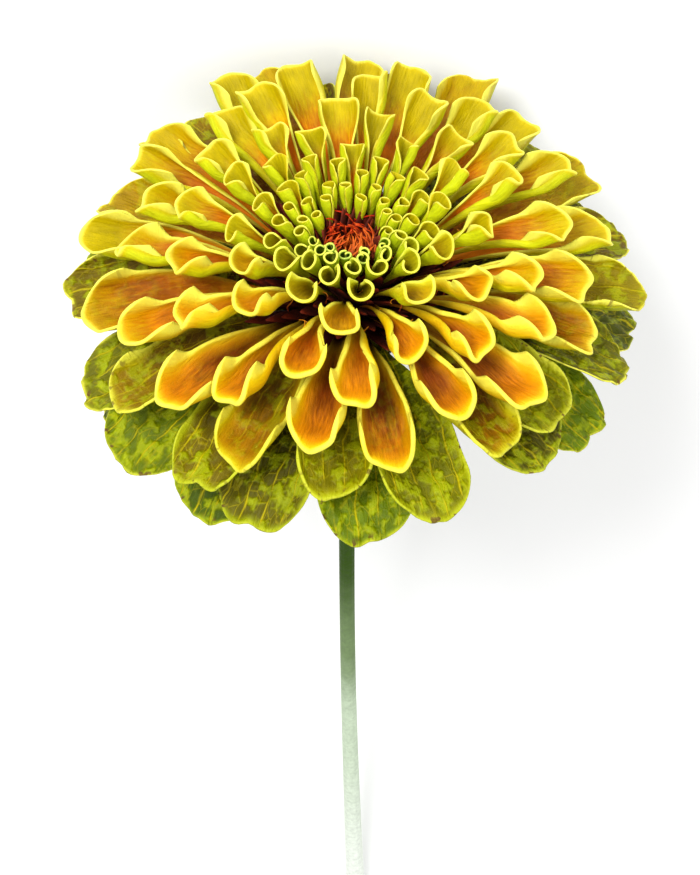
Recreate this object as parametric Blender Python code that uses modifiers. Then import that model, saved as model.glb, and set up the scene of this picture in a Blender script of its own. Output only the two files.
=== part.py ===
"""A cut zinnia flower, lying on its side, in metres with +Z up.

The bloom is a spiral of ray florets round a small disc. Each floret, called a petal here,
is a thin strip that grows from a domed receptacle, arches outwards and curls up at its
sides. The outer petals are separate pieces. The inner ones are narrow tubes, and each
whorl of them shares one collar round the receptacle.

The bloom's own frame has X across, Y towards the surface that it lies on, and Z along the
stem towards the face, with 0 at the top of the disc. An empty tilts that frame so that the
lowest petals and the end of the stem both rest on z = 0.
"""

import math

import bmesh
import bpy
import numpy as np

MM = 0.001

# Driving dimensions, in millimetres and degrees
HEAD_Z = 46.0
HEAD_Y = 96.8
STEM_REACH = 207.0
STEM_TOP_RADIUS = 1.65
STEM_END_RADIUS = 1.85
STEM_SAG = 4.0
STEM_SWAY = 1.2
STEM_BOW = 0.8
STEM_POINTS = 16
GAP = 0.3
SHEET = 0.5
ROOT_LIFT = 0.15

# The receptacle is a paraboloid, seen from its top
DOME_TOP = -4.5
DOME_RADIUS = 8.4
DOME_RISE = 12.5
DOME_INNER = 3.0
NECK_HEIGHT = -23.2
BRACT_THICKNESS = 1.0

# The spiral of petals, one row on the receptacle each, and the whorls that share a collar
GOLDEN_ANGLE = 137.508
FIRST_ANGLE = 334.0
OUTER_PETALS = 51
OUTER_FACES = (4, 4)
WHORL_PETALS = (19, 19, 19, 19, 18)
WHORL_FACES = ((3, 3), (3, 3), (4, 3), (4, 3), (4, 3))
COLLAR_STEP = 8
COLLAR_GAP_ROWS = 5
COLLAR_THICKNESS = 0.8
COLLAR_MARGIN = 0.2

# Petal shape by place in the spiral, outermost first: place, tip radius, tip height, arch
# height, arch place as a share of the run outwards, half width at the widest, half width
# of the claw, how far along it is at full width, how much the tip narrows, curl in degrees
TIERS = (
    (0, 45.5, -25.0, -12.0, 0.45, 6.6, 0.75, 0.75, 0.45, 22),
    (14, 45.5, -20.0, -8.0, 0.45, 6.4, 0.75, 0.75, 0.45, 26),
    (28, 44.5, -14.0, -4.0, 0.45, 6.0, 0.75, 0.75, 0.45, 36),
    (42, 40.5, -9.0, -1.0, 0.42, 5.4, 0.70, 0.78, 0.45, 50),
    (56, 35.5, -4.8, 2.0, 0.38, 4.7, 0.60, 0.82, 0.40, 68),
    (70, 29.5, -1.5, 3.8, 0.35, 4.3, 0.55, 0.88, 0.25, 80),
    (84, 22.5, 1.2, 4.2, 0.32, 3.9, 0.50, 0.92, 0.0, 95),
    (98, 16.0, 3.0, 3.0, 0.28, 3.2, 0.45, 0.95, 0.0, 125),
    (121, 9.8, 2.6, 0.5, 0.26, 2.5, 0.40, 0.95, 0.0, 145),
    (144, 5.8, 1.4, -1.0, 0.25, 1.75, 0.35, 0.95, 0.0, 145),
)
COLUMNS = tuple(zip(*TIERS))
(TIP_RADIUS, TIP_HEIGHT, ARCH_HEIGHT, ARCH_PLACE, HALF_WIDTH, CLAW_WIDTH, FULL_AT,
 TIP_NARROWING, CURL) = range(1, 10)
WIDENING_RUN = 0.6
TIP_STARTS = 0.75
CLAW_CURL_SHARE = 0.45
CURL_FULL_AT = 0.4
TIGHTEST_ROLL = 0.6

# The three petals that lie on the surface, and how much higher each next one is held
RESTING_PETALS = (1, 9, 17)
FLOOR_STEP = 0.05

AXIS_TILT = math.asin((HEAD_Z - STEM_END_RADIUS) / STEM_REACH)
LAST_PETAL = OUTER_PETALS + sum(WHORL_PETALS) - 1


def clear_scene():
    """Remove every object that the file opened with."""
    for item in list(bpy.data.objects):
        bpy.data.objects.remove(item)


def new_collection(name):
    """Add a collection to the scene."""
    collection = bpy.data.collections.new(name)
    bpy.context.scene.collection.children.link(collection)
    return collection


def new_material(name, colour, roughness):
    """Make a plain Principled material."""
    material = bpy.data.materials.new(name)
    material.use_nodes = True
    shader = material.node_tree.nodes["Principled BSDF"]
    shader.inputs["Base Color"].default_value = (*colour, 1.0)
    shader.inputs["Roughness"].default_value = roughness
    shader.inputs["Metallic"].default_value = 0.0
    return material


def place(name, mesh, collection, bloom, material):
    """Add a mesh as a named object on the bloom's empty."""
    item = bpy.data.objects.new(name, mesh)
    item.parent = bloom
    mesh.materials.append(material)
    mesh.shade_smooth()
    collection.objects.link(item)
    return item


def tier(place_in_spiral, column):
    """Read one shape value between the rows of TIERS."""
    return float(np.interp(place_in_spiral, COLUMNS[0], COLUMNS[column]))


def dome_point(row, lift):
    """Give radius and height on the receptacle at a row, moved out by lift."""
    share = row / (LAST_PETAL + COLLAR_STEP)
    radius = math.sqrt(DOME_RADIUS**2 - share * (DOME_RADIUS**2 - DOME_INNER**2))
    steepness = DOME_RISE / DOME_RADIUS**2
    height = DOME_TOP - steepness * radius**2
    slope = 2 * steepness * radius
    length = math.hypot(slope, 1.0)
    return radius + lift * slope / length, height + lift / length


def whorl_rows(whorl):
    """Give the first and last petal of a whorl, and the rows that its collar spans."""
    first = OUTER_PETALS + sum(WHORL_PETALS[:whorl])
    last = first + WHORL_PETALS[whorl] - 1
    return first, last, first + COLLAR_STEP, last + COLLAR_STEP - COLLAR_GAP_ROWS


def petal_root(number):
    """Give radius and height of the inner end of a petal's middle line."""
    for whorl in range(len(WHORL_PETALS)):
        first, last, low_row, high_row = whorl_rows(whorl)
        if first <= number <= last:
            share = (number - first) / (last - first)
            share = COLLAR_MARGIN + (1 - 2 * COLLAR_MARGIN) * share
            row = low_row + share * (high_row - low_row)
            return dome_point(row, GAP + 0.5 * COLLAR_THICKNESS)
    return dome_point(number, GAP + ROOT_LIFT)


def smooth_step(low, high, value):
    """Ease from 0 to 1 between two values."""
    share = min(max((value - low) / (high - low), 0.0), 1.0)
    return share * share * (3 - 2 * share)


def petal_point(number, along, across):
    """Give a point of a petal's middle sheet in the bloom's frame, in millimetres.

    along runs from 0 at the root to 1 at the tip, and across from -1 to 1.
    """
    root = np.array(petal_root(number))
    tip = np.array((tier(number, TIP_RADIUS), tier(number, TIP_HEIGHT)))
    arch_radius = root[0] + tier(number, ARCH_PLACE) * (tip[0] - root[0])
    arch = np.array((arch_radius, tier(number, ARCH_HEIGHT)))
    line = (1 - along) ** 2 * root + 2 * along * (1 - along) * arch + along**2 * tip
    heading = (1 - along) * (arch - root) + along * (tip - arch)
    heading = heading / np.linalg.norm(heading)

    claw, full_at = tier(number, CLAW_WIDTH), tier(number, FULL_AT)
    widening = smooth_step(full_at - WIDENING_RUN, full_at, along)
    width = claw + (tier(number, HALF_WIDTH) - claw) * widening
    width *= 1 - tier(number, TIP_NARROWING) * smooth_step(TIP_STARTS, 1.0, along)
    curl_share = CLAW_CURL_SHARE + (1 - CLAW_CURL_SHARE) * smooth_step(0, CURL_FULL_AT, along)
    curl = min(math.radians(tier(number, CURL)) * curl_share, width / TIGHTEST_ROLL)
    side = width / curl * math.sin(across * curl)
    lift = width / curl * (1 - math.cos(across * curl))

    radius = line[0] - lift * heading[1]
    height = line[1] + lift * heading[0]
    angle = math.radians(FIRST_ANGLE - number * GOLDEN_ANGLE)
    x = radius * math.sin(angle) + side * math.cos(angle)
    y = side * math.sin(angle) - radius * math.cos(angle)
    return above_floor(number, x, y, height)


def above_floor(number, x, y, height):
    """Press a point that would sink through the surface up on to it."""
    rise, run = math.cos(AXIS_TILT), math.sin(AXIS_TILT)
    world_z = HEAD_Z - y * rise + height * run
    floor = 0.5 * SHEET
    if number not in RESTING_PETALS:
        floor += FLOOR_STEP * number
    lift = max(floor - world_z, 0.0)
    return x * MM, (y - lift * rise) * MM, (height + lift * run) * MM


def add_sheet(build, number, across_faces, along_faces):
    """Add one petal's middle sheet to a bmesh as a shaped grid."""
    grid = bmesh.ops.create_grid(
        build, x_segments=across_faces, y_segments=along_faces, size=1.0
    )
    for vertex in grid["verts"]:
        across, half_along = vertex.co.x, vertex.co.y
        vertex.co = petal_point(number, 0.5 + 0.5 * half_along, across)


def thicken(item, thickness):
    """Give an open sheet its thickness, half on each side."""
    shell = item.modifiers.new("thickness", "SOLIDIFY")
    shell.thickness = thickness * MM
    shell.offset = 0.0


def turned_mesh(name, profile):
    """Make a mesh of a profile of (radius, height) points, in millimetres."""
    build = bmesh.new()
    points = [build.verts.new((radius * MM, 0.0, height * MM)) for radius, height in profile]
    for upper, lower in zip(points, points[1:]):
        build.edges.new((upper, lower))
    mesh = bpy.data.meshes.new(name)
    build.to_mesh(mesh)
    build.free()
    return mesh


def turn(item, steps):
    """Turn a profile round the bloom's axis."""
    screw = item.modifiers.new("turn", "SCREW")
    screw.steps = steps
    screw.render_steps = steps
    screw.use_merge_vertices = True
    screw.merge_threshold = 0.00001


def add_receptacle(parts, bloom):
    """Turn the domed core that every petal grows from."""
    crown = [dome_point(0, 0.0)]
    for share in (0.8, 0.6, 0.4, 0.2, 0.0):
        radius = share * DOME_RADIUS
        crown.insert(0, (radius, DOME_TOP - DOME_RISE * share**2))
    under = [(7.6, -19.6), (4.8, -22.2), (0.0, NECK_HEIGHT)]
    mesh = turned_mesh("receptacle", crown + under)
    green = new_material("receptacle_green", (0.30, 0.38, 0.10), 0.6)
    turn(place("receptacle", mesh, parts, bloom, green), 24)


def add_involucre(parts, bloom):
    """Turn the open cup of bracts between the stem and the lowest petals."""
    hole = STEM_TOP_RADIUS + GAP + 0.6 * BRACT_THICKNESS
    outline = [(9.6, -18.2), (8.5, -20.6), (5.4, -23.6), (hole, -25.0)]
    mesh = turned_mesh("involucre", outline)
    green = new_material("bract_green", (0.10, 0.20, 0.05), 0.6)
    cup = place("involucre", mesh, parts, bloom, green)
    turn(cup, 24)
    thicken(cup, BRACT_THICKNESS)


def add_disc(parts, bloom):
    """Turn the tuft of scales at the centre, seated on the receptacle."""
    seat = [(radius, DOME_TOP + GAP - DOME_RISE * (radius / DOME_RADIUS) ** 2)
            for radius in (2.0, 1.0, 0.0)]
    cap = [(0.0, 0.2), (1.5, 0.0), (2.7, -1.0), (2.9, -2.2), (2.5, -3.6)]
    red = new_material("disc_red", (0.42, 0.08, 0.01), 0.6)
    turn(place("disc", turned_mesh("disc", cap + seat), parts, bloom, red), 16)


def stem_point(share):
    """Give the stem's middle line, from 0 under the bloom to 1 at the cut end."""
    height = NECK_HEIGHT - GAP - share * (STEM_REACH + NECK_HEIGHT - GAP)
    sag = STEM_SAG * math.sin(math.pi * share)
    sway = STEM_SWAY * share**2 - STEM_BOW * math.sin(math.pi * share)
    return sway * MM, sag * MM, height * MM


def add_stem(parts, bloom):
    """Sweep the stem as a round tube with closed ends."""
    curve = bpy.data.curves.new("stem", "CURVE")
    curve.dimensions = "3D"
    curve.bevel_depth = MM
    curve.bevel_resolution = 2
    curve.use_fill_caps = True
    spline = curve.splines.new("POLY")
    spline.points.add(STEM_POINTS - 1)
    for index, point in enumerate(spline.points):
        share = index / (STEM_POINTS - 1)
        point.co = (*stem_point(share), 1.0)
        point.radius = STEM_TOP_RADIUS + share * (STEM_END_RADIUS - STEM_TOP_RADIUS)
    guide = bpy.data.objects.new("stem_guide", curve)
    parts.objects.link(guide)
    bpy.context.view_layer.update()
    graph = bpy.context.evaluated_depsgraph_get()
    mesh = bpy.data.meshes.new_from_object(guide.evaluated_get(graph))
    bpy.data.objects.remove(guide)
    build = bmesh.new()
    build.from_mesh(mesh)
    bmesh.ops.remove_doubles(build, verts=build.verts, dist=0.00001)
    build.to_mesh(mesh)
    build.free()
    green = new_material("stem_green", (0.22, 0.36, 0.14), 0.5)
    place("stem", mesh, parts, bloom, green)


def petal_colour(number):
    """Shift from olive at the outside, through gold, to lime at the middle."""
    places = (0, 30, 60, 95, LAST_PETAL)
    return tuple(
        float(np.interp(number, places, channel))
        for channel in ((0.35, 0.62, 0.75, 0.50, 0.38),
                        (0.42, 0.48, 0.48, 0.60, 0.58),
                        (0.02, 0.02, 0.02, 0.04, 0.05))
    )


def add_outer_petals(parts, bloom):
    """Make each outer petal as its own piece."""
    for number in range(OUTER_PETALS):
        name = f"ray_petal_{number + 1:02d}"
        build = bmesh.new()
        add_sheet(build, number, *OUTER_FACES)
        mesh = bpy.data.meshes.new(name)
        build.to_mesh(mesh)
        build.free()
        material = new_material(f"{name}_colour", petal_colour(number), 0.5)
        thicken(place(name, mesh, parts, bloom, material), SHEET)


def add_whorl(whorl, parts, cutters, bloom):
    """Make a whorl of inner petals on one collar round the receptacle."""
    first, last, low_row, high_row = whorl_rows(whorl)
    name = f"inner_whorl_{whorl + 1}"
    material = new_material(f"{name}_colour", petal_colour((first + last) / 2), 0.5)
    build = bmesh.new()
    for number in range(first, last + 1):
        add_sheet(build, number, *WHORL_FACES[whorl])
    mesh = bpy.data.meshes.new(f"{name}_petals")
    build.to_mesh(mesh)
    build.free()
    petals = place(f"{name}_petals", mesh, cutters, bloom, material)
    petals.hide_render = True
    petals.display_type = "WIRE"
    thicken(petals, SHEET)

    middle = GAP + 0.5 * COLLAR_THICKNESS
    profile = [dome_point(high_row, middle), dome_point(low_row, middle)]
    collar = place(name, turned_mesh(name, profile), parts, bloom, material)
    turn(collar, 20)
    thicken(collar, COLLAR_THICKNESS)
    join = collar.modifiers.new("join", "BOOLEAN")
    join.operation = "UNION"
    join.solver = "EXACT"
    join.use_self = True
    join.object = petals


def build_flower():
    """Build every piece of the flower."""
    clear_scene()
    parts = new_collection("zinnia_flower")
    cutters = new_collection("zinnia_flower_cutters")
    bloom = bpy.data.objects.new("bloom_frame", None)
    bloom.location = (0.0, HEAD_Y * MM, HEAD_Z * MM)
    bloom.rotation_euler = (AXIS_TILT - math.pi / 2, 0.0, 0.0)
    parts.objects.link(bloom)
    add_stem(parts, bloom)
    add_involucre(parts, bloom)
    add_receptacle(parts, bloom)
    add_disc(parts, bloom)
    add_outer_petals(parts, bloom)
    for whorl in range(len(WHORL_PETALS)):
        add_whorl(whorl, parts, cutters, bloom)


build_flower()
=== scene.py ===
"""The looks of the cut zinnia: every floret, scale and thread as a detailed mesh.

The bloom's own frame has X across, Y towards the surface and Z along the stem towards the
face, with 0 at the top of the disc. Its shapes are worked out in millimetres and placed in
the frame's metres, on the same lines as the CAD model. Petals are numbered from 0 along the
spiral in which they grow, from the outermost in.
"""
import math
from collections import namedtuple

import bpy
import numpy as np
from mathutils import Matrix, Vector


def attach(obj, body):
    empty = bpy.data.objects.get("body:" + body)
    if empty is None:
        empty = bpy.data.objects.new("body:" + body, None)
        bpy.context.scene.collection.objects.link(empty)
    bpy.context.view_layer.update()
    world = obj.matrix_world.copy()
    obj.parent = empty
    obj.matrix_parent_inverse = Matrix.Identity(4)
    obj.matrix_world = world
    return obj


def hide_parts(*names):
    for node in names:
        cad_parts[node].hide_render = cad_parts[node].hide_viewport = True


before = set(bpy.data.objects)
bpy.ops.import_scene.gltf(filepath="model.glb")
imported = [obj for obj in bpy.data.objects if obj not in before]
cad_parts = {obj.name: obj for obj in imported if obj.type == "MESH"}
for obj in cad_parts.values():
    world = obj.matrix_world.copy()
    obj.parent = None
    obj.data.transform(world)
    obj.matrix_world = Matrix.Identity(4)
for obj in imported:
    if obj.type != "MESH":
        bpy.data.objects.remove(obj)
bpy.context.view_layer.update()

MM = 0.001
ROOT = "root"
FULL_TURN = 2 * math.pi

# Where the bloom lies, in millimetres, as in the CAD model
HEAD_Z = 46.0
HEAD_Y = 96.8
STEM_REACH = 207.0
STEM_TOP_RADIUS = 1.65
STEM_END_RADIUS = 1.85
STEM_SAG = 4.0
STEM_SWAY = 1.2
STEM_BOW = 0.8
AXIS_TILT = math.asin((HEAD_Z - STEM_END_RADIUS) / STEM_REACH)

# The receptacle's dome and the spiral of petals on it, as in the CAD model
DOME_TOP = -4.5
DOME_RADIUS = 8.4
DOME_RISE = 12.5
DOME_INNER = 3.0
NECK_HEIGHT = -23.2
GOLDEN_ANGLE = 137.508
FIRST_ANGLE = 334.0
OUTER_PETALS = 51
WHORL_PETALS = (19, 19, 19, 19, 18)
PETALS = OUTER_PETALS + sum(WHORL_PETALS)
LAST_PETAL = PETALS - 1
ROW_GAP = 8
LAST_ROW = LAST_PETAL + ROW_GAP

# The petals that lie on the surface, and how much higher each next one is held
RESTING_PETALS = (1, 9, 17)
FLOOR_STEP = 0.05
SHEET = 0.5
FLOOR_SOFTNESS = 0.4
LOWEST = 0.02

# How far a petal's foot stands off the dome
ROOT_LIFT = 0.6

# Petal shape at chosen places in the spiral, from the outermost in. Lengths are in
# millimetres, angles in degrees and places along the petal in shares of its length.
PLACES = (0, 14, 28, 42, 56, 70, 84, 98, 121, 144)
SHAPE = {
    # Where the tip is, and the control point that arches the middle line
    "tip_radius": (47.2, 47.0, 45.5, 42.0, 37.0, 30.5, 23.0, 16.0, 10.2, 6.4),
    "tip_height": (-25.0, -20.0, -13.5, -8.5, -4.0, -0.8, 2.2, 4.0, 3.0, 1.6),
    "arch_height": (-12.0, -8.5, -5.0, -2.8, -0.8, 0.6, 0.8, 0.0, -2.0, -3.0),
    "arch_place": (0.45, 0.45, 0.45, 0.43, 0.42, 0.42, 0.44, 0.5, 0.55, 0.6),
    # Half widths of the blade and of the narrow claw, and where the blade is at its widest
    "half_width": (8.0, 7.6, 6.2, 5.2, 4.9, 4.9, 5.0, 4.6, 3.6, 2.75),
    "claw_width": (1.5, 1.5, 1.3, 1.0, 0.8, 0.8, 0.8, 0.8, 0.8, 0.8),
    "full_at": (0.66, 0.68, 0.72, 0.8, 0.84, 0.88, 0.9, 0.92, 0.92, 0.92),
    # How far each half curls up, how much more its margin rolls, and where the tip opens
    "curl_middle": (12, 18, 34, 56, 80, 104, 134, 168, 195, 198),
    "curl_tip": (8, 12, 28, 48, 60, 72, 92, 135, 185, 190),
    "roll_middle": (5, 10, 25, 34, 34, 28, 18, 8, 0, 0),
    "roll_tip": (12, 18, 36, 50, 50, 48, 34, 15, 0, 0),
    "opens_at": (0.50, 0.50, 0.50, 0.52, 0.55, 0.60, 0.66, 0.74, 0.85, 0.90),
    # How unequally the two halves curl, and how far the tip turns up
    "scroll": (0.05, 0.12, 0.2, 0.3, 0.34, 0.34, 0.3, 0.25, 0.25, 0.25),
    "tip_lift": (-0.6, 0.2, 1.6, 2.8, 3.0, 2.8, 2.0, 0.5, 0.0, 0.0),
    # The bead along the rim, the tip's outline, and the blade's unevenness
    "bead": (0.18, 0.2, 0.3, 0.42, 0.48, 0.44, 0.32, 0.22, 0.18, 0.16),
    "rounding": (0.2, 0.2, 0.19, 0.18, 0.18, 0.17, 0.14, 0.09, 0.06, 0.05),
    "notch": (0.012, 0.01, 0.006, 0.0, 0.0, 0.0, 0.0, 0.0, 0.0, 0.0),
    "blister": (0.5, 0.46, 0.26, 0.1, 0.06, 0.05, 0.03, 0.02, 0.0, 0.0),
    "ruffle": (0.6, 0.5, 0.4, 0.3, 0.2, 0.15, 0.1, 0.0, 0.0, 0.0),
    # How much further forward the petals near the surface are held
    "hold_up": (0.0, 0.5, 2.0, 2.4, 2.0, 1.2, 0.5, 0.0, 0.0, 0.0),
}
ROWS = 39
COLUMNS = 31
ROW_CROWDING = 1.5
BLADE = 0.3

# Stretches of the spiral, by petal number, over which a trait grows or fades
LOOSENESS_FADES = (8, 40)
JITTER_FADES = (70, 105)
DRAW_IN_FADES = (20, 50)
COLUMNS_EVEN_OUT = (70, 110)
UNEVEN_TIP_FADES = (80, 105)
FACING_FADES = (60, 85)
WAIST_GROWS = (25, 45)
SIDE_FOLD_GROWS = (38, 55)
SIDE_FOLD_FADES = (90, 105)
CURL_CHANGE_FADES = (85, 105)
FLARE_GROWS = (80, 100)
WOBBLE_GROWS = (75, 100)

# How the petals differ by their direction round the bloom
DRAW_IN = 1.8
FACING_OPEN = 0.20
SIDE_CLOSED = 0.15
WAIST = 0.45
WAIST_LENGTH = 0.14
SIDE_WAIST = 0.38
SIDE_WAIST_LENGTH = 0.24
WAIST_PLACE = 0.62
FOLD_OVER = 0.75

# How a petal widens, opens and firms up along its length
WIDENING_RUN = 0.6
OPENING_RUN = 0.35
FIRM_AT = 0.35
TIP_NARROWING = 0.10
ROLL_PEAK = 12
FLARE = 0.4

# The small irregularities of the tip's outline
NOTCH_WIDTH = 0.16
TIP_RUFFLE = 0.004
TIP_SLANT = 0.025
TIP_WAVE = 0.010

OUTER_LOOSENESS = {"angle": 1.0, "radius": 0.3, "height": 1.0, "twist": -0.4, "sweep": 1.0}
JITTER_LOSS = 0.6
CURL_CHANGE_LOSS = 0.8

rng = np.random.default_rng(604)
JITTER = {
    "angle": rng.normal(0.0, 1.8, PETALS),
    "radius": rng.normal(0.0, 1.1, PETALS),
    "height": rng.normal(0.0, 0.7, PETALS),
    "twist": rng.normal(0.0, 12.0, PETALS),
    "scroll": rng.choice((-1.0, 1.0), PETALS) * rng.uniform(0.5, 1.5, PETALS),
    "sweep": rng.normal(0.0, 0.6, PETALS),
    "curl": np.clip(rng.normal(1.0, 0.14, PETALS), 0.75, 1.3),
    "phase": rng.uniform(0.0, 6.28, PETALS),
    "seed": rng.uniform(0.0, 1.0, PETALS),
    "wobble": rng.uniform(0.1, 0.6, PETALS),
    "lobes": rng.choice((2.0, 2.0, 3.0), PETALS),
}


# ---- The petals' lines and sheets

def to_world(x, y, height):
    """Turn the bloom's own millimetres into the frame's metres."""
    rise, run = math.cos(AXIS_TILT), math.sin(AXIS_TILT)
    world_y = HEAD_Y + y * run + height * rise
    world_z = HEAD_Z - y * rise + height * run
    return np.stack([x, world_y, world_z], axis=-1) * MM


def round_bloom(angle, radius, height, sideways=0.0):
    """Give the point at a direction round the bloom, a radius, a height and a side shift."""
    x = radius * math.sin(angle) + sideways * math.cos(angle)
    y = sideways * math.sin(angle) - radius * math.cos(angle)
    return x, y, height


def ease(low, high, value):
    """Ease from 0 to 1 between two values."""
    share = np.clip((value - low) / (high - low), 0.0, 1.0)
    return share * share * (3 - 2 * share)


def shape(number, name):
    """Read one shape value at a place in the spiral."""
    return float(np.interp(number, PLACES, SHAPE[name]))


def jitter(number, name):
    """Read a petal's random offset: large for the loose outer petals, small for the tubes."""
    loose = 1 + OUTER_LOOSENESS[name] * (1 - ease(*LOOSENESS_FADES, number))
    return JITTER[name][number] * loose * (1 - JITTER_LOSS * ease(*JITTER_FADES, number))


def dome_point(row, lift):
    """Give radius and height on the receptacle at a row of the spiral, moved out by lift."""
    share = row / LAST_ROW
    radius = math.sqrt(DOME_RADIUS**2 - share * (DOME_RADIUS**2 - DOME_INNER**2))
    steepness = DOME_RISE / DOME_RADIUS**2
    slope = 2 * steepness * radius
    length = math.hypot(slope, 1.0)
    height = DOME_TOP - steepness * radius**2
    return radius + lift * slope / length, height + lift / length


def petal_angle(number):
    """Give a petal's direction round the bloom, 0 being straight away from the surface."""
    return math.radians(FIRST_ANGLE - number * GOLDEN_ANGLE + jitter(number, "angle"))


def upward(number):
    """Give how squarely a petal points away from the surface, from -1 to 1."""
    return math.cos(petal_angle(number))


def petal_line(number, along):
    """Give radius, height, heading and end-to-end run of a petal's middle line."""
    row = number if number < OUTER_PETALS else number + ROW_GAP
    root_radius, root_height = dome_point(row, ROOT_LIFT)
    held_up = shape(number, "hold_up") * (1 - upward(number)) / 2
    drawn_in = max(upward(number), 0.0) * (1 - ease(*DRAW_IN_FADES, number))
    tip_radius = shape(number, "tip_radius") + jitter(number, "radius") - DRAW_IN * drawn_in
    tip_height = shape(number, "tip_height") + jitter(number, "height") + held_up
    arch_radius = root_radius + shape(number, "arch_place") * (tip_radius - root_radius)
    arch_height = shape(number, "arch_height") + held_up / 2
    near, far = 1 - along, along
    radius = near**2 * root_radius + 2 * near * far * arch_radius + far**2 * tip_radius
    height = near**2 * root_height + 2 * near * far * arch_height + far**2 * tip_height
    step_radius = near * (arch_radius - root_radius) + far * (tip_radius - arch_radius)
    step_height = near * (arch_height - root_height) + far * (tip_height - arch_height)
    length = np.hypot(step_radius, step_height)
    run = math.hypot(tip_radius - root_radius, tip_height - root_height)
    return radius, height, step_radius / length, step_height / length, run


def running_sum(values, across):
    """Add values up across the petal, starting from its middle line."""
    steps = np.diff(across, axis=1) * (values[:, 1:] + values[:, :-1]) / 2
    total = np.concatenate([np.zeros((ROWS, 1)), np.cumsum(steps, axis=1)], axis=1)
    middle = COLUMNS // 2
    return total - total[:, middle:middle + 1]


def trimmed_tip(number, step, across):
    """Give places along the petal with the tip's outline rounded, notched and uneven."""
    phase = JITTER["phase"][number]
    round_end = 1 - np.sqrt(np.clip(1 - np.abs(across)**3, 0.0, 1.0))
    trim = shape(number, "rounding") * round_end
    trim = trim + shape(number, "notch") * np.exp(-((across / NOTCH_WIDTH) ** 2))
    trim = trim + TIP_RUFFLE * np.sin(6 * across + phase) * shape(number, "ruffle")
    uneven = 1 - ease(*UNEVEN_TIP_FADES, number)
    trim = trim + TIP_SLANT * uneven * math.sin(3 * phase) * across
    trim = trim + TIP_WAVE * uneven * np.sin(5 * across + 2 * phase)
    return step * (1 - step**3 * trim)


def petal_width(number, along):
    """Give the half width of the flattened blade at places along the petal."""
    claw, full_at = shape(number, "claw_width"), shape(number, "full_at")
    widening = ease(full_at - WIDENING_RUN, full_at, along)
    width = claw + (shape(number, "half_width") - claw) * widening
    return width * (1 - TIP_NARROWING * ease(0.85, 1.0, along))


def near_waist(along, length):
    """Give how near a place is to the waist, where a petal is pinched together."""
    return np.exp(-(((along - WAIST_PLACE) / length) ** 2))


def petal_bending(number, along, across):
    """Give how sharply the sheet bends at each place, in radians for each half width."""
    opens_at = shape(number, "opens_at")
    open_tip = ease(opens_at, opens_at + OPENING_RUN, along)
    firm = 0.35 + 0.65 * ease(0.0, FIRM_AT, along)
    facing = max(upward(number), 0.0) * (1 - ease(*FACING_FADES, number))
    sideways = abs(math.sin(petal_angle(number))) * ease(*SIDE_FOLD_GROWS, number)
    sideways = sideways * (1 - ease(*SIDE_FOLD_FADES, number))
    settled = 1 - CURL_CHANGE_LOSS * ease(*CURL_CHANGE_FADES, number)
    curl_change = 1 + (JITTER["curl"][number] - 1) * settled
    firm = firm * (1 - FACING_OPEN * facing + SIDE_CLOSED * sideways) * curl_change
    waist = WAIST * facing * ease(*WAIST_GROWS, number) * near_waist(along, WAIST_LENGTH)
    side_waist = SIDE_WAIST * sideways * near_waist(along, SIDE_WAIST_LENGTH)
    firm = firm * (1 + waist + side_waist)

    curl = shape(number, "curl_middle") * (1 - open_tip) + shape(number, "curl_tip") * open_tip
    roll = shape(number, "roll_middle") * (1 - open_tip) + shape(number, "roll_tip") * open_tip
    scroll = shape(number, "scroll") * JITTER["scroll"][number]
    scroll = scroll - FOLD_OVER * math.sin(petal_angle(number)) * sideways
    rolling = np.clip(2 * np.abs(across) - 1, 0.0, 1.0)
    bending = curl + roll * ROLL_PEAK * rolling * (1 - rolling)
    loose_side = ease(0.0, 1.0, -across * np.sign(scroll))
    flare = FLARE * open_tip * loose_side * ease(*FLARE_GROWS, number)
    bending = np.radians(bending) * firm * np.exp(scroll * across) * (1 - flare)
    wobble = JITTER["wobble"][number] * ease(*WOBBLE_GROWS, number)
    lobes = JITTER["lobes"][number] * math.pi
    return bending * (1 + wobble * np.cos(lobes * across + JITTER["phase"][number]))


def uneven_lift(number, lift, step, along, across, place_x, place_y):
    """Add the turned-up tip, the wavy margins and the blisters to a sheet's lift."""
    phase = JITTER["phase"][number]
    margin = np.abs(across)
    lift = lift + shape(number, "tip_lift") * ease(0.80, 1.02, step) ** 1.3
    waves = np.sin(5 * along + 2.0 * np.sign(across) + phase)
    lift = lift + shape(number, "ruffle") * margin**2 * ease(0.4, 0.8, along) * waves
    bumps = np.sin(place_x * 1.5 + phase) * np.sin(place_y * 1.2 + 2 * phase)
    bumps = bumps + 0.5 * np.sin(place_x * 3.1 - place_y * 0.9 + 3 * phase)
    return lift + shape(number, "blister") * bumps * ease(0.35, 0.6, along) * (1 - margin**4)


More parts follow.
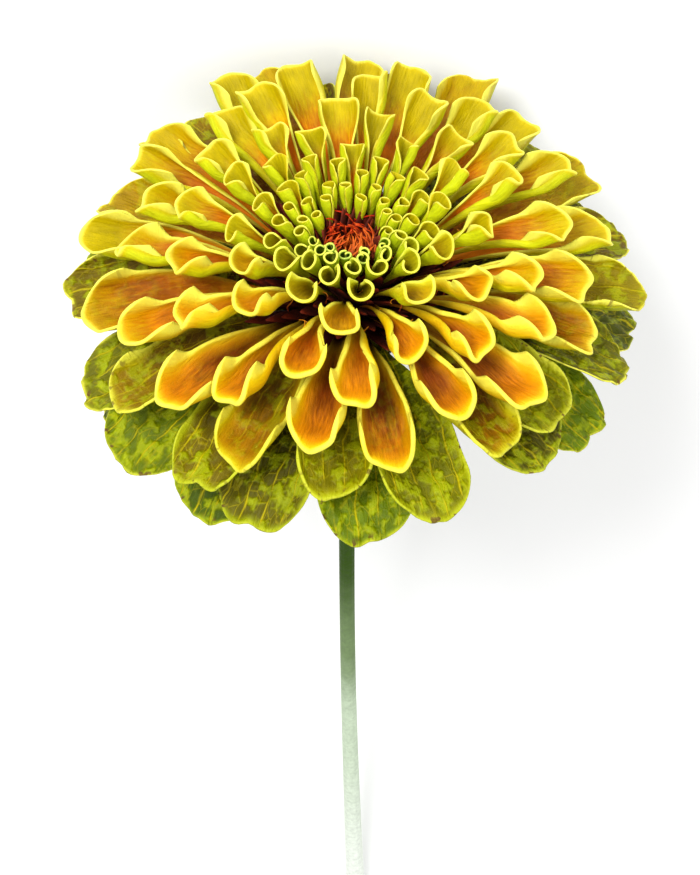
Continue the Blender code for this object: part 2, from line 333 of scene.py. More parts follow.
def petal_sheet(number):
    """Give a petal's middle sheet, its distance from the rim, and its place on the petal."""
    seat = np.linspace(-1, 1, COLUMNS)
    evened = ease(*COLUMNS_EVEN_OUT, number)
    bunched = seat * (3 - seat**2) / 2
    across = np.tile(seat * evened + bunched * (1 - evened), (ROWS, 1))
    step = 1 - (1 - np.linspace(0, 1, ROWS)) ** ROW_CROWDING
    step = np.tile(step[:, None], (1, COLUMNS))
    along = trimmed_tip(number, step, across)
    radius, height, out, up, run = petal_line(number, along)

    width = petal_width(number, along)
    bend = running_sum(petal_bending(number, along, across), across)
    side = width * running_sum(np.cos(bend), across)
    lift = width * running_sum(np.sin(bend), across)
    place_x, place_y = across * width, along * run
    lift = uneven_lift(number, lift, step, along, across, place_x, place_y)
    twist = np.radians(jitter(number, "twist")) * along
    side, lift = (side * np.cos(twist) - lift * np.sin(twist),
                  side * np.sin(twist) + lift * np.cos(twist))
    side = side + jitter(number, "sweep") * along**2

    radius = radius - lift * up
    height = height + lift * out
    points = to_world(*round_bloom(petal_angle(number), radius, height, side)) / MM
    floor = 0.5 * SHEET + (0.0 if number in RESTING_PETALS else FLOOR_STEP * number)
    over = points[..., 2] - floor
    points[..., 2] = floor + FLOOR_SOFTNESS * np.logaddexp(0.0, over / FLOOR_SOFTNESS)
    rim = np.minimum((1 - np.abs(across)) * width, (1 - step) * run)
    return points, rim, along, place_x, place_y


# ---- Solids and pieces

def thickness_at(rim, bead, along):
    """Give the sheet's thickness: a round bead along the rim and a thin blade inside."""
    bead = bead * (0.35 + 0.65 * ease(0.2, 0.6, along))
    inside = BLADE + (2 * bead - BLADE) * np.exp(-(((rim - bead) / (2.2 * bead)) ** 2))
    edge = 2 * np.sqrt(np.clip(2 * bead * rim - rim**2, 0.0, None))
    return np.where(rim < bead, edge, inside)


def quads(index):
    """Give the four corners of each cell of a grid of vertex numbers."""
    corners = [index[:-1, :-1], index[:-1, 1:], index[1:, 1:], index[1:, :-1]]
    return np.stack(corners, axis=-1).reshape(-1, 4)


def sheet_solid(points, half, outward):
    """Close a sheet into a solid of two skins that meet at its rim.

    Half is half the thickness, and outward is 1 or -1 for the side of the first skin. The
    mask of the points inside the rim, which both skins have, comes with the solid.
    """
    normal = outward * np.cross(np.gradient(points, axis=0), np.gradient(points, axis=1))
    normal = normal / np.maximum(np.linalg.norm(normal, axis=-1, keepdims=True), 1e-9)
    inner = np.zeros(points.shape[:2], bool)
    inner[1:-1, 1:-1] = True
    first, second = points + normal * half, points - normal * half
    first[~inner] = points[~inner]
    first_index = np.arange(inner.size).reshape(inner.shape)
    second_index = first_index.copy()
    second_index[inner] = inner.size + np.arange(inner.sum())
    vertices = np.concatenate([first.reshape(-1, 3), second[inner]])
    faces = [quads(first_index)[:, ::-outward], quads(second_index)[:, ::outward]]
    return vertices, np.concatenate(faces), inner


def on_skins(values, inner, second_values=None):
    """Give a value for each vertex of a closed sheet, by default the same on both skins."""
    second_values = values if second_values is None else second_values
    return np.concatenate([values.reshape(-1), second_values[inner]])


def petal_solid(number):
    """Give the vertices, faces and attributes of one petal as a closed solid."""
    points, rim, along, place_x, place_y = petal_sheet(number)
    bead = shape(number, "bead") * (0.45 + 0.55 * max(upward(number), 0.0))
    half = thickness_at(rim, bead, along)[..., None] / 2
    vertices, faces, inner = sheet_solid(points, half, 1)
    vertices[:, 2] = np.maximum(vertices[:, 2], LOWEST)
    count = len(vertices)
    attributes = {
        "along": on_skins(along, inner),
        "rim": on_skins(rim, inner),
        "face": on_skins(np.where(inner, 1.0, 0.5), inner, np.zeros(inner.shape)),
        "tier": np.full(count, number / LAST_PETAL),
        "seed": np.full(count, JITTER["seed"][number]),
        "glow": np.full(count, (1 - upward(number)) / 2),
        "sheet_x": on_skins(place_x, inner),
        "sheet_y": on_skins(place_y, inner),
    }
    return vertices * MM, faces, attributes


def scale_solid(angle, line, half_width, thickness, cup, seed):
    """Make a scale or bract along a line of (radius, height), cupped across."""
    rows, columns = 15, 11
    line = np.asarray(line, float)
    places = np.linspace(0, 1, len(line))
    step = np.linspace(0, 1, rows)[:, None]
    radius = np.interp(step, places, line[:, 0])
    height = np.interp(step, places, line[:, 1])
    across = np.linspace(-1, 1, columns)[None]
    width = half_width * np.sqrt(np.clip(1 - (np.abs(step - 0.35) / 0.66) ** 3, 0.02, 1))
    side = across * width
    inward = cup * across**2 * width / half_width
    turn = side / np.maximum(radius, 1.0)
    bent = radius - inward
    x, y = bent * np.sin(angle + turn), -bent * np.cos(angle + turn)
    points = to_world(x, y, height + 0 * side) / MM
    vertices, faces, inner = sheet_solid(points, thickness / 2, -1)
    along = on_skins(step + (1 - step) * np.abs(across) ** 3, inner)
    return vertices * MM, faces, {"along": along, "seed": np.full(len(along), seed)}


def ring_solid(rings, values):
    """Join rings of points into a solid closed at both ends, with one value for each key."""
    count, sides = rings.shape[:2]
    index = np.arange(count * sides).reshape(count, sides)
    after = np.roll(index, -1, axis=1)
    walls = np.stack([index[:-1], after[:-1], after[1:], index[1:]], axis=-1).reshape(-1, 4)
    half = np.arange(sides // 2 - 1)
    cap = np.stack([half, sides - 1 - half, sides - 2 - half, half + 1], axis=-1)
    faces = np.concatenate([walls, cap + index[0, 0], cap[:, ::-1] + index[-1, 0]])
    attributes = {"along": np.repeat(np.linspace(0, 1, count), sides)}
    for key, value in values.items():
        attributes[key] = np.full(count * sides, value)
    return rings.reshape(-1, 3), faces, attributes


def tube_solid(points, radii, sides, flatten=1.0, ribs=0, rib=0.0, **values):
    """Sweep a closed round or flat tube along points given in millimetres of the bloom."""
    points = to_world(*np.asarray(points, float).T)
    radii = np.asarray(radii, float) * MM
    tangent = np.gradient(points, axis=0)
    tangent /= np.linalg.norm(tangent, axis=1, keepdims=True)
    first = np.cross(tangent, np.array([0.31, 0.93, 0.17]))
    first /= np.linalg.norm(first, axis=1, keepdims=True)
    second = np.cross(tangent, first)
    turns = np.linspace(0, FULL_TURN, sides, endpoint=False)
    swell = (1 + rib * np.cos(ribs * turns))[None, :, None]
    ring = (first[:, None] * np.cos(turns)[None, :, None]
            + second[:, None] * np.sin(turns)[None, :, None] * flatten)
    return ring_solid(points[:, None] + ring * radii[:, None, None] * swell, values)


def lathe_solid(outline, sides, **values):
    """Turn an outline of (radius, height) millimetres round the bloom's axis."""
    outline = np.asarray(outline, float)
    turns = np.linspace(0, FULL_TURN, sides, endpoint=False)
    radius, height = outline[:, 0, None], outline[:, 1, None]
    rings = to_world(radius * np.sin(turns), -radius * np.cos(turns), height + 0 * turns)
    return ring_solid(rings, values)


def mesh_piece(name, solids, material, replaced=None):
    """Join solids into one smooth mesh object that rides on the part."""
    vertices, faces, attributes, start = [], [], {}, 0
    for solid_vertices, solid_faces, solid_attributes in solids:
        vertices.append(solid_vertices)
        faces.append(solid_faces + start)
        start += len(solid_vertices)
        for key, values in solid_attributes.items():
            attributes.setdefault(key, []).append(values)
    vertices, faces = np.concatenate(vertices), np.concatenate(faces)
    mesh = bpy.data.meshes.new(name)
    sides = faces.shape[1]
    mesh.vertices.add(len(vertices))
    mesh.vertices.foreach_set("co", vertices.reshape(-1))
    mesh.loops.add(faces.size)
    mesh.loops.foreach_set("vertex_index", faces.reshape(-1).astype(np.int32))
    mesh.polygons.add(len(faces))
    mesh.polygons.foreach_set("loop_start", np.arange(0, faces.size, sides, dtype=np.int32))
    mesh.update(calc_edges=True)
    mesh.validate()
    for key, values in attributes.items():
        layer = mesh.attributes.new(key, "FLOAT", "POINT")
        layer.data.foreach_set("value", np.concatenate(values).astype(np.float32))
    mesh.shade_smooth()
    mesh.materials.append(material)
    piece = bpy.data.objects.new(name, mesh)
    bpy.context.scene.collection.objects.link(piece)
    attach(piece, ROOT)
    if replaced:
        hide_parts(replaced)
    return piece


# ---- Materials

def linear(colour):
    """Turn a colour of 0 to 255 screen values into linear light."""
    shares = [value / 255 for value in colour]
    light = [v / 12.92 if v <= 0.04045 else ((v + 0.055) / 1.055) ** 2.4 for v in shares]
    return (*light, 1.0)


class Look:
    """A material's node tree with short ways to add nodes to it."""

    def __init__(self, name, roughness, specular):
        self.material = bpy.data.materials.new(name)
        self.material.use_nodes = True
        self.tree = self.material.node_tree
        self.shader = self.tree.nodes["Principled BSDF"]
        self.shader.inputs["Roughness"].default_value = roughness
        self.shader.inputs["Specular IOR Level"].default_value = specular

    def put(self, socket, value):
        """Link an output to an input, or set the input's own value."""
        if isinstance(value, bpy.types.NodeSocket):
            self.tree.links.new(value, socket)
        else:
            socket.default_value = value

    def attribute(self, name):
        """Read one of the mesh's own values."""
        node = self.tree.nodes.new("ShaderNodeAttribute")
        node.attribute_name = name
        return node.outputs["Fac"]

    def math(self, operation, first, second=0.0, third=0.0):
        """Work out one number."""
        node = self.tree.nodes.new("ShaderNodeMath")
        node.operation = operation
        for socket, value in zip(node.inputs, (first, second, third)):
            self.put(socket, value)
        return node.outputs[0]

    def times(self, first, second):
        """Multiply two numbers."""
        return self.math("MULTIPLY", first, second)

    def adjust(self, value, gain, offset):
        """Multiply a number by a gain and add an offset."""
        return self.math("MULTIPLY_ADD", value, gain, offset)

    def sway(self, value, noise, gain):
        """Move a number up and down by a noise of 0 to 1."""
        return self.adjust(self.math("SUBTRACT", noise, 0.5), gain, value)

    def span(self, value, low, high, start=0.0, end=1.0):
        """Ease a value from one range to another."""
        node = self.tree.nodes.new("ShaderNodeMapRange")
        node.interpolation_type = "SMOOTHSTEP"
        for socket, setting in zip(node.inputs, (value, low, high, start, end)):
            self.put(socket, setting)
        return node.outputs[0]

    def mix(self, factor, first, second, blend="MIX"):
        """Mix two colours."""
        node = self.tree.nodes.new("ShaderNodeMix")
        node.data_type = "RGBA"
        node.blend_type = blend
        self.put(node.inputs[0], factor)
        self.put(node.inputs[6], first)
        self.put(node.inputs[7], second)
        return node.outputs[2]

    def shaded(self, colour, light):
        """Multiply a colour by a number."""
        return self.mix(1.0, colour, self.grid(light, light, light), "MULTIPLY")

    def ramp(self, value, stops):
        """Run a value through a row of (place, colour) stops."""
        node = self.tree.nodes.new("ShaderNodeValToRGB")
        node.color_ramp.interpolation = "EASE"
        elements = node.color_ramp.elements
        while len(elements) < len(stops):
            elements.new(0.5)
        for element, (place, colour) in zip(elements, stops):
            element.position = place
            element.color = linear(colour)
        self.put(node.inputs[0], value)
        return node.outputs[0]

    def grid(self, x, y, z):
        """Make a coordinate from three numbers."""
        node = self.tree.nodes.new("ShaderNodeCombineXYZ")
        for socket, value in zip(node.inputs, (x, y, z)):
            self.put(socket, value)
        return node.outputs[0]

    def noise(self, place, scale, detail=2.0):
        """Read smooth noise at a place."""
        node = self.tree.nodes.new("ShaderNodeTexNoise")
        self.put(node.inputs["Vector"], place)
        node.inputs["Scale"].default_value = scale
        node.inputs["Detail"].default_value = detail
        return node.outputs["Fac"]

    def cells(self, place, scale, feature):
        """Read a cell pattern at a place."""
        node = self.tree.nodes.new("ShaderNodeTexVoronoi")
        node.feature = feature
        self.put(node.inputs["Vector"], place)
        node.inputs["Scale"].default_value = scale
        return node.outputs["Distance"]

    def finish(self, colour, height, depth, roughness):
        """Wire up the colour, the bumps and the roughness."""
        self.put(self.shader.inputs["Base Color"], colour)
        bump = self.tree.nodes.new("ShaderNodeBump")
        bump.inputs["Strength"].default_value = 1.0
        bump.inputs["Distance"].default_value = depth
        self.put(bump.inputs["Height"], height)
        self.put(self.shader.inputs["Normal"], bump.outputs[0])
        self.put(self.shader.inputs["Roughness"], roughness)
        return self.material


# The petals' colours at chosen places in the spiral: stops from claw to tip for the channel
# and the back, then the band inside the rim, the rim, and the rim's width in millimetres. The
# channels' near-black claw ends are partly the petals' real brown base and partly painted
# shade in the head's crevices.
RowLook = namedtuple("RowLook", "place channel back band rim rim_width")
ROW_LOOKS = (
    RowLook(0, ((0.3, (32, 38, 0)), (0.6, (32, 46, 0)), (0.97, (58, 74, 0))),
            ((0.1, (84, 98, 10)), (0.9, (150, 168, 12))),
            (126, 144, 0), (164, 172, 20), 0.22),
    RowLook(24, ((0.3, (40, 20, 0)), (0.6, (74, 48, 0)), (0.97, (108, 86, 0))),
            ((0.1, (100, 90, 6)), (0.9, (166, 170, 10))),
            (148, 146, 0), (172, 180, 14), 0.45),
    RowLook(44, ((0.35, (34, 6, 0)), (0.65, (106, 46, 0)), (0.97, (200, 118, 0))),
            ((0.15, (96, 60, 4)), (0.9, (190, 178, 8))),
            (226, 154, 0), (226, 198, 4), 0.92),
    RowLook(72, ((0.3, (48, 9, 0)), (0.62, (150, 70, 0)), (0.97, (216, 140, 0))),
            ((0.15, (130, 74, 2)), (0.9, (194, 192, 10))),
            (228, 160, 0), (230, 206, 6), 0.88),
    RowLook(96, ((0.2, (40, 34, 2)), (0.6, (128, 110, 2)), (0.95, (176, 166, 8))),
            ((0.15, (92, 90, 4)), (0.9, (180, 190, 12))),
            (180, 182, 10), (214, 218, 50), 0.36),
    RowLook(144, ((0.2, (16, 32, 2)), (0.6, (40, 72, 2)), (0.95, (72, 116, 6))),
            ((0.15, (54, 84, 4)), (0.9, (166, 194, 20))),
            (96, 140, 8), (200, 220, 100), 0.20),
)
# Pale colour of the rims away from the front, and of the painted highlight along every rim's
# crest
PALE_RIM_AND_HIGHLIGHT = linear((240, 234, 86))
TIP_OLIVE = linear((182, 168, 0))
SIDE_BAND = linear((200, 176, 0))
SIDE_BACK = linear((194, 200, 14))
WARM_CLAW = linear((224, 124, 2))
AGED_EDGE = linear((84, 34, 30))
FRESH_GREEN = linear((118, 142, 0))
MOTTLE_AND_HIGHLIGHT_GREEN = linear((156, 166, 0))
VEIN_YELLOW = linear((184, 168, 4))
BACK_VEIN = linear((160, 164, 50))
VEIN_WANDER = 1.8
VEIN_GAP = 1.7
PETAL_BUMP = 0.0004


def spiral_colours(look, tier, wander, first, last):
    """Mix the row looks from first to last by each petal's own place in the spiral."""
    rows = [row for row in ROW_LOOKS if first <= row.place <= last]
    before = rows[0]
    channel = look.ramp(wander, before.channel)
    back = look.ramp(wander, before.back)
    band = linear(before.band)
    rim = linear(before.rim)
    rim_width = before.rim_width
    for row in rows[1:]:
        factor = look.span(tier, before.place / LAST_PETAL, row.place / LAST_PETAL)
        channel = look.mix(factor, channel, look.ramp(wander, row.channel))
        back = look.mix(factor, back, look.ramp(wander, row.back))
        band = look.mix(factor, band, linear(row.band))
        rim = look.mix(factor, rim, linear(row.rim))
        widening = look.times(factor, row.rim_width - before.rim_width)
        rim_width = look.math("ADD", rim_width, widening)
        before = row
    return channel, back, band, rim, rim_width


def vein_pattern(look, place, spread, sheet_x, sheet_y):
    """Draw long wandering veins with a fine net between them."""
    bent = look.adjust(look.noise(place, 0.22), VEIN_WANDER, sheet_x)
    long_veins = look.math("PINGPONG", look.math("ADD", bent, VEIN_GAP / 2), VEIN_GAP)
    net_place = look.grid(bent, look.times(sheet_y, 0.5), spread)
    net = look.cells(net_place, 0.8, "DISTANCE_TO_EDGE")
    return look.math("MAXIMUM", look.span(long_veins, 0.03, 0.22, 1.0, 0.0),
                     look.span(net, 0.0, 0.07, 0.4, 0.0))


def petal_material(name, first, last):
    """Make the petals' material for the looks between two places in the spiral."""
    look = Look(name, 0.42, 0.14)
    along, rim, tier = look.attribute("along"), look.attribute("rim"), look.attribute("tier")
    seed, face, glow = look.attribute("seed"), look.attribute("face"), look.attribute("glow")
    sheet_x, sheet_y = look.attribute("sheet_x"), look.attribute("sheet_y")
    spread = look.times(seed, 50.0)
    place = look.grid(sheet_x, sheet_y, spread)
    blotch = look.noise(place, 0.35, 3.0)
    streak = look.noise(look.grid(look.times(sheet_x, 6.0), sheet_y, spread), 0.45, 3.0)
    grain = look.noise(place, 6.0)

    # Colours along the petal, moved by the streaks, the direction and the petal's own seed
    wander = look.sway(along, streak, 0.22)
    wander = look.adjust(glow, 0.14, wander)
    wander = look.sway(wander, seed, 0.16)
    channel, back, band_colour, rim_colour, rim_width = spiral_colours(
        look, tier, wander, first, last)

    # The outer petals' green blotches, partly painted highlights on their bulges, and yellow
    # veins
    outer = look.span(tier, 0.14, 0.32, 1.0, 0.0)
    veins = look.times(vein_pattern(look, place, spread, sheet_x, sheet_y), outer)
    veins = look.times(veins, look.span(blotch, 0.3, 0.55))
    fresh = look.times(look.span(seed, 0.35, 1.0, 0.0, 0.5), outer)
    channel = look.mix(fresh, channel, FRESH_GREEN)
    # Bright green mottling: partly the outer petals' own blotches, partly a painted highlight
    # on their bulges
    mottle_and_highlight = look.times(look.span(look.noise(place, 0.5), 0.45, 0.63), outer)
    channel = look.mix(look.times(mottle_and_highlight, 0.8), channel, MOTTLE_AND_HIGHLIGHT_GREEN)
    channel = look.mix(look.times(veins, 0.8), channel, VEIN_YELLOW)
    back = look.mix(look.times(veins, 0.5), back, BACK_VEIN)

    # Away from the front, the inner petals are warmer at the claw and yellower at the tip
    aside = look.span(glow, 0.08, 0.5)
    inner_aside = look.times(aside, look.math("SUBTRACT", 1.0, outer))
    warming = look.times(inner_aside, look.span(along, 0.50, 0.95, 0.9, 0.0))
    channel = look.mix(warming, channel, WARM_CLAW)
    yellowing = look.span(look.adjust(aside, 0.28, wander), 0.98, 1.30)
    yellowing = look.times(yellowing, look.math("SUBTRACT", 0.9, outer))
    channel = look.mix(yellowing, channel, TIP_OLIVE)
    band_colour = look.mix(inner_aside, band_colour, SIDE_BAND)
    greening = look.times(inner_aside, look.span(along, 0.4, 0.9, 0.0, 0.75))
    back = look.mix(greening, back, SIDE_BACK)
    colour = look.mix(look.span(face, 0.35, 0.75), back, channel)
    light = look.times(look.adjust(streak, 0.5, 0.75), look.adjust(blotch, 0.8, 0.6))
    colour = look.shaded(colour, light)

    # The band, the rim, a painted highlight along the rim's crest and the aged spots, by the
    # distance from the rim
    front = look.span(glow, 0.02, 0.50, 1.0, 0.0)
    rim_width = look.times(rim_width, look.adjust(front, 0.65, 0.35))
    # Away from the front the rim takes the same pale colour as the painted crest highlight
    rim_colour = look.mix(front, PALE_RIM_AND_HIGHLIGHT, rim_colour)
    near = look.math("DIVIDE", look.sway(rim, blotch, 0.9), rim_width)
    grown = look.span(along, 0.25, 0.7)
    band = look.times(look.span(near, 0.4, 4.2, 1.0, 0.0), grown)
    colour = look.mix(band, colour, band_colour)
    edge = look.times(look.span(near, 0.0, 2.3, 1.0, 0.0), grown)
    colour = look.mix(edge, colour, rim_colour)
    # Painted highlight along the rim's crest, weaker on the outer petals
    painted_crest_highlight = look.times(look.span(near, 0.0, 0.80, 0.75, 0.0), grown)
    painted_crest_highlight = look.times(painted_crest_highlight, look.adjust(outer, -0.8, 1.0))
    colour = look.mix(painted_crest_highlight, colour, PALE_RIM_AND_HIGHLIGHT)
    age = look.span(look.noise(place, 0.9, 1.0), 0.62, 0.70)
    age = look.times(age, look.span(rim, 0.3, 1.4, 0.8, 0.0))
    colour = look.mix(look.times(age, outer), colour, AGED_EDGE)

    bumps = look.times(streak, 0.6)
    for pattern, strength in ((grain, 0.25), (veins, 0.3), (mottle_and_highlight, 0.7)):
        bumps = look.math("ADD", bumps, look.times(pattern, strength))
    return look.finish(colour, bumps, PETAL_BUMP, look.span(grain, 0.3, 0.7, 0.38, 0.55))


def plain_material(name, stops, roughness, specular, scale, depth, far_stops=None,
                   drift=0.25):
    """Make a fibrous material whose colour changes along the piece, with noise over it.

    Far stops take over where the piece's own seed is near 1.
    """
    look = Look(name, roughness, specular)
    coordinates = look.tree.nodes.new("ShaderNodeTexCoord").outputs["Object"]
    speckle = look.noise(coordinates, scale, 4.0)
    coarse = look.noise(coordinates, scale * 0.2)
    wander = look.sway(look.attribute("along"), coarse, drift)
    colour = look.ramp(wander, stops)
    if far_stops:
        colour = look.mix(look.attribute("seed"), colour, look.ramp(wander, far_stops))
    colour = look.shaded(colour, look.adjust(speckle, 0.6, 0.7))
    return look.finish(colour, speckle, depth, look.span(speckle, 0.3, 0.7, roughness, 0.8))


OUTER = petal_material("outer_petals", 0, 44)
MIDDLE = petal_material("middle_petals", 24, 96)
TUBES = petal_material("tube_petals", 72, 144)
DISC = plain_material(
    "disc_scales", ((0.0, (30, 5, 1)), (0.5, (112, 30, 4)), (1.0, (222, 104, 24))),
    roughness=0.5, specular=0.25, scale=2500.0, depth=0.0001,
    far_stops=((0.0, (48, 2, 1)), (0.5, (150, 14, 2)), (1.0, (220, 36, 8))))
# The chaff's near-black red-brown: partly the scales' own colour, partly painted shade in the
# gaps between the petals
CHAFF_AND_GAP_SHADE_LOOK = plain_material(
    "chaff", ((0.0, (30, 8, 2)), (0.7, (72, 18, 4)), (1.0, (120, 34, 6))),
    roughness=0.6, specular=0.3, scale=1500.0, depth=0.0002)
THREAD = plain_material(
    "stigma_threads", ((0.0, (150, 52, 6)), (1.0, (240, 150, 20))),
    roughness=0.5, specular=0.4, scale=2500.0, depth=0.0001)
BRACT = plain_material(
    "bracts", ((0.0, (62, 84, 18)), (0.6, (98, 124, 30)), (0.84, (88, 100, 26)),
               (0.96, (48, 32, 14))),
    roughness=0.55, specular=0.3, scale=900.0, depth=0.0003, drift=0.1)
DOME = plain_material(
    "receptacle_surface", ((0.0, (52, 24, 8)), (1.0, (70, 22, 6))),
    roughness=0.7, specular=0.2, scale=1500.0, depth=0.0003)
# The stem: dark green at the neck, fading to a painted near-white washout towards its cut end
STEM_WASHOUT_LOOK = plain_material(
    "stem_surface_painted_washout", ((0.0, (34, 54, 6)), (0.38, (54, 80, 20)), (0.54, (116, 138, 94)),
                     (0.68, (192, 208, 182)), (1.0, (232, 238, 228))),
    roughness=0.55, specular=0.1, scale=1200.0, depth=0.0002, drift=0.05)


# ---- The flower

FIRST_MIDDLE_PETAL = 28
FIRST_TUBE_PETAL = OUTER_PETALS + sum(WHORL_PETALS[:2])


def slot_of(number):
    """Name the material slot and material of a petal by its place in the spiral."""
    if number < FIRST_MIDDLE_PETAL:
        return "outer_petal", OUTER
    if number < FIRST_TUBE_PETAL:
        return "middle_petal", MIDDLE
    return "tube_petal", TUBES


for number in range(OUTER_PETALS):
    slot, material = slot_of(number)
    mesh_piece(f"petal_{number + 1:02d}", [petal_solid(number)], material,
               f"ray_petal_{number + 1:02d}")

number = OUTER_PETALS
for whorl, count in enumerate(WHORL_PETALS, start=1):
    slot, material = slot_of(number)
    solids = [petal_solid(n) for n in range(number, number + count)]
    mesh_piece(f"petal_whorl_{whorl}", solids, material, f"inner_whorl_{whorl}")
    number += count

STEM_ROWS = 120
STEM_SIDES = 48
STEM_RIBS = 12
STEM_RIB = 0.03
STEM_WAIST = 0.2
NECK_GAP = 0.3


def stem_point(share):
    """Give the stem's middle line in the bloom's own frame."""
    height = NECK_HEIGHT - NECK_GAP - share * (STEM_REACH + NECK_HEIGHT - NECK_GAP)
    sag = STEM_SAG * math.sin(math.pi * share)
    sway = STEM_SWAY * share**2 - STEM_BOW * math.sin(math.pi * share)
    return sway, sag, height


stem_shares = np.linspace(0, 1, STEM_ROWS)
stem_radii = STEM_TOP_RADIUS + (STEM_END_RADIUS - STEM_TOP_RADIUS) * stem_shares
stem_radii = stem_radii * (1 - STEM_WAIST * np.sin(math.pi * stem_shares))
stem = tube_solid([stem_point(share) for share in stem_shares], stem_radii, STEM_SIDES,
                  ribs=STEM_RIBS, rib=STEM_RIB)
mesh_piece("flower_stem", [stem], STEM_WASHOUT_LOOK, "stem")

LATHE_SIDES = 64
receptacle_outline = [(0.01, NECK_HEIGHT), (4.8, NECK_HEIGHT + 1.0), (7.6, -19.6)]
for share in np.linspace(0, 1, 24):
    radius = DOME_RADIUS * (1 - share) + 0.01
    receptacle_outline.append((radius, DOME_TOP - DOME_RISE * (radius / DOME_RADIUS) ** 2))
mesh_piece("receptacle_dome", [lathe_solid(receptacle_outline, LATHE_SIDES)], DOME,
           "receptacle")

# The cup of overlapping bracts: rows from the stem up, each by its bracts' two ends
BractRow = namedtuple("BractRow", "count low_radius low_height high_radius high_height width")
BRACT_ROWS = (
    BractRow(10, 3.4, -25.3, 8.9, -22.8, 2.5),
    BractRow(13, 5.2, -24.3, 10.6, -19.7, 2.6),
    BractRow(16, 7.6, -22.2, 11.0, -16.4, 2.5),
)
BRACT_BULGE = 0.9
BRACT_THICKNESS = 0.45
BRACT_CUP = 0.4
cup_outline = [(2.1, -25.2), (5.4, -23.9), (8.5, -20.9), (9.6, -18.4), (9.2, -18.1),
               (8.0, -20.3), (5.0, -23.2), (2.1, -24.4)]
bracts = [lathe_solid(cup_outline, LATHE_SIDES, seed=0.5)]
for level, row in enumerate(BRACT_ROWS):
    middle = ((row.low_radius + row.high_radius) / 2 + BRACT_BULGE,
              (row.low_height + row.high_height) / 2 - BRACT_BULGE)
    line = [(row.low_radius, row.low_height), middle, (row.high_radius, row.high_height)]
    for each in range(row.count):
        angle = FULL_TURN * (each + 0.5 * level) / row.count + 0.1 * rng.normal()
        bracts.append(scale_solid(angle, line, row.width, BRACT_THICKNESS, BRACT_CUP,
                                  rng.uniform()))
mesh_piece("bracts", bracts, BRACT, "involucre")

POINT_RADIUS = 0.03
SCALE_FLATNESS = 0.3


def spindle(widest, start, run, count):
    """Give half widths along a scale that swells and then narrows to a point."""
    return widest * np.sin(np.pi * (start + run * np.linspace(0, 1, count))) + POINT_RADIUS


# The disc: thin pointed scales that lean in and swirl round the middle
DISC_SCALES = 120
DISC_REACH = 5.2
DISC_POINTS = 9
DISC_SINK = 0.4
scales = []
for each in range(DISC_SCALES):
    ring = DISC_REACH * math.sqrt((each + 0.5) / DISC_SCALES)
    angle = math.radians(each * GOLDEN_ANGLE)
    top = -1.2 + 0.03 * ring**2 + rng.normal(0.0, 0.5)
    lean = 0.40 + 0.22 * rng.normal()
    swirl = 0.5 + 0.5 * rng.normal()
    points = []
    for share in np.linspace(0, 1, DISC_POINTS):
        reach = ring * (1 - lean * share**2)
        turn = angle + swirl * share**2
        height = DOME_TOP - DISC_SINK + (top - DOME_TOP + DISC_SINK) * share
        points.append(round_bloom(turn, reach, height))
    facing_back = (1 - math.cos(angle)) / 2 * ring / DISC_REACH
    scales.append(tube_solid(points, spindle(0.42, 0.22, 0.76, DISC_POINTS), 6,
                             flatten=SCALE_FLATNESS, seed=facing_back))
mesh_piece("disc_scales", scales, DISC, "disc")

# Chaffy scales between the petals, dark and reaching out so that they fill the gaps with
# painted shade
CHAFF = 230
CHAFF_START = 26
CHAFF_POINTS = 8
chaff = []
for each in range(CHAFF):
    row = CHAFF_START + (each + 0.5) * (LAST_ROW - CHAFF_START) / CHAFF
    angle = each * math.radians(GOLDEN_ANGLE) + 1.1
    share = row / LAST_ROW
    reach = 16.0 - 10.0 * share + rng.normal(0.0, 0.6)
    foot_radius, foot_height = dome_point(row, -0.2)
    lean = 1.30 - 1.10 * share
    points = []
    for step in np.linspace(0, 1, CHAFF_POINTS):
        length = reach * step
        radius = foot_radius + length * math.sin(lean)
        points.append(round_bloom(angle, radius, foot_height + length * math.cos(lean)))
    chaff.append(tube_solid(points, spindle(1.4, 0.15, 0.82, CHAFF_POINTS), 8,
                            flatten=SCALE_FLATNESS))
mesh_piece("chaff_scales", chaff, CHAFF_AND_GAP_SHADE_LOOK)

# Curled stigma threads in the gaps round the tubes
THREADS = 26
THREAD_POINTS = 14
THREAD_TURN = 4.5
thread_radii = np.linspace(0.13, 0.05, THREAD_POINTS)
threads = []
for each in range(THREADS):
    angle = math.radians(rng.uniform(-110.0, 110.0))
    ring = rng.uniform(8.0, 19.0)
    base = 1.5 - 0.02 * ring**2
    curl_size = rng.uniform(0.8, 1.6)
    start_turn = rng.uniform(0.0, FULL_TURN)
    points = []
    for share in np.linspace(0, 1, THREAD_POINTS):
        turn = start_turn + THREAD_TURN * share
        out = curl_size * share * math.cos(turn)
        sideways = curl_size * share * math.sin(turn)
        height = base - 3.0 + 3.4 * share + 0.4 * math.sin(turn)
        points.append(round_bloom(angle, ring + out, height, sideways))
    threads.append(tube_solid(points, thread_radii, 6))
mesh_piece("stigma_threads", threads, THREAD)


# ---- Studio

FLOOR_REACH = 3.0
WORLD_STRENGTH = 0.76


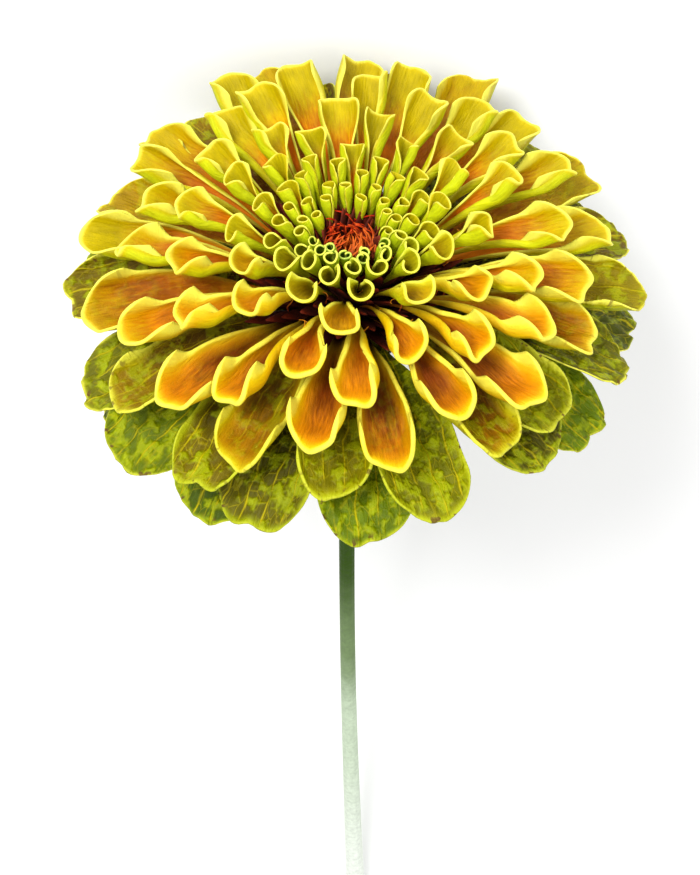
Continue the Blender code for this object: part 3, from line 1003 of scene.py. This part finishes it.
def make_floor():
    """Lay a large plain pale floor under the flower."""
    mesh = bpy.data.meshes.new("floor")
    corners = [(-FLOOR_REACH, -FLOOR_REACH, 0), (FLOOR_REACH, -FLOOR_REACH, 0),
               (FLOOR_REACH, FLOOR_REACH, 0), (-FLOOR_REACH, FLOOR_REACH, 0)]
    mesh.from_pydata(corners, [], [(0, 1, 2, 3)])
    floor = bpy.data.objects.new("floor", mesh)
    bpy.context.scene.collection.objects.link(floor)
    material = bpy.data.materials.new("pale_floor")
    material.use_nodes = True
    shader = material.node_tree.nodes["Principled BSDF"]
    shader.inputs["Base Color"].default_value = (0.94, 0.94, 0.94, 1.0)
    shader.inputs["Roughness"].default_value = 0.9
    mesh.materials.append(material)


def add_light(name, place, target, size, power):
    """Hang a soft square light that faces a target."""
    light = bpy.data.lights.new(name, "AREA")
    light.shape = "SQUARE"
    light.size = size
    light.energy = power
    lamp = bpy.data.objects.new(name, light)
    lamp.location = place
    aim = Vector(target) - Vector(place)
    lamp.rotation_euler = aim.to_track_quat("-Z", "Y").to_euler()
    bpy.context.scene.collection.objects.link(lamp)


DISC_PLACE = Vector((0.0, HEAD_Y, HEAD_Z)) * MM
make_floor()
add_light("key", (-0.30, 0.75, 0.60), DISC_PLACE, size=0.35, power=7.8)
add_light("fill", (0.45, 0.30, 0.75), DISC_PLACE, size=0.6, power=2.5)
world = bpy.data.worlds.new("studio")
world.use_nodes = True
world.node_tree.nodes["Background"].inputs["Color"].default_value = (1.0, 1.0, 1.0, 1.0)
world.node_tree.nodes["Background"].inputs["Strength"].default_value = WORLD_STRENGTH
bpy.context.scene.world = world
bpy.context.scene.view_settings.view_transform = "Standard"

# The camera looks down on the bloom's face, with the bloom high in its frame
VIEW_FROM_AXIS = math.radians(48.0)
VIEW_DISTANCE = 0.48
LOOK_BELOW_DISC = math.radians(3.9)
SENSOR_HEIGHT = 24.0
LENS = 82.7
view_lean = VIEW_FROM_AXIS - AXIS_TILT
camera_data = bpy.data.cameras.new("camera")
camera_data.sensor_fit = "VERTICAL"
camera_data.sensor_height = SENSOR_HEIGHT
camera_data.lens = LENS
camera_data.clip_start = 0.01
camera = bpy.data.objects.new("camera", camera_data)
toward_camera = Vector((0.0, math.sin(view_lean), math.cos(view_lean)))
camera.location = DISC_PLACE + VIEW_DISTANCE * toward_camera
camera.rotation_euler = (-(view_lean + LOOK_BELOW_DISC), 0.0, 0.0)
bpy.context.scene.collection.objects.link(camera)
bpy.context.scene.camera = camera
